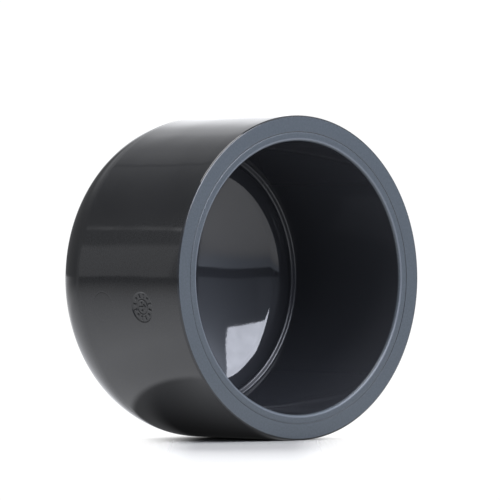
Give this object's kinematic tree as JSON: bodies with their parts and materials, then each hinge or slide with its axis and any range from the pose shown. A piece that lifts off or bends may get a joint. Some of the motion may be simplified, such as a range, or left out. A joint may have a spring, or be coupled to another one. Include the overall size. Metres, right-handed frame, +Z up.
{
  "type": "pipe end cap",
  "caption": "Plain domed end cap with a solvent-weld socket that closes the end of a pressure pipe.",
  "frame": {"origin": "centre of the socket's mouth, on the cap's axis and in the plane of the mouth's face", "axes": "+Y along the cap's axis from the mouth to the dome, +Z up with the cap lying on its side, +X to the right seen from in front of the mouth"},
  "size_m": [0.1078, 0.0771, 0.1078],
  "materials": {
    "moulded_pvc": "glossy as-moulded dark grey rigid PVC, satin on the mouth's face"
  },
  "bodies": {
    "root": {"cap_body": "moulded_pvc"}
  },
  "joints": []
}
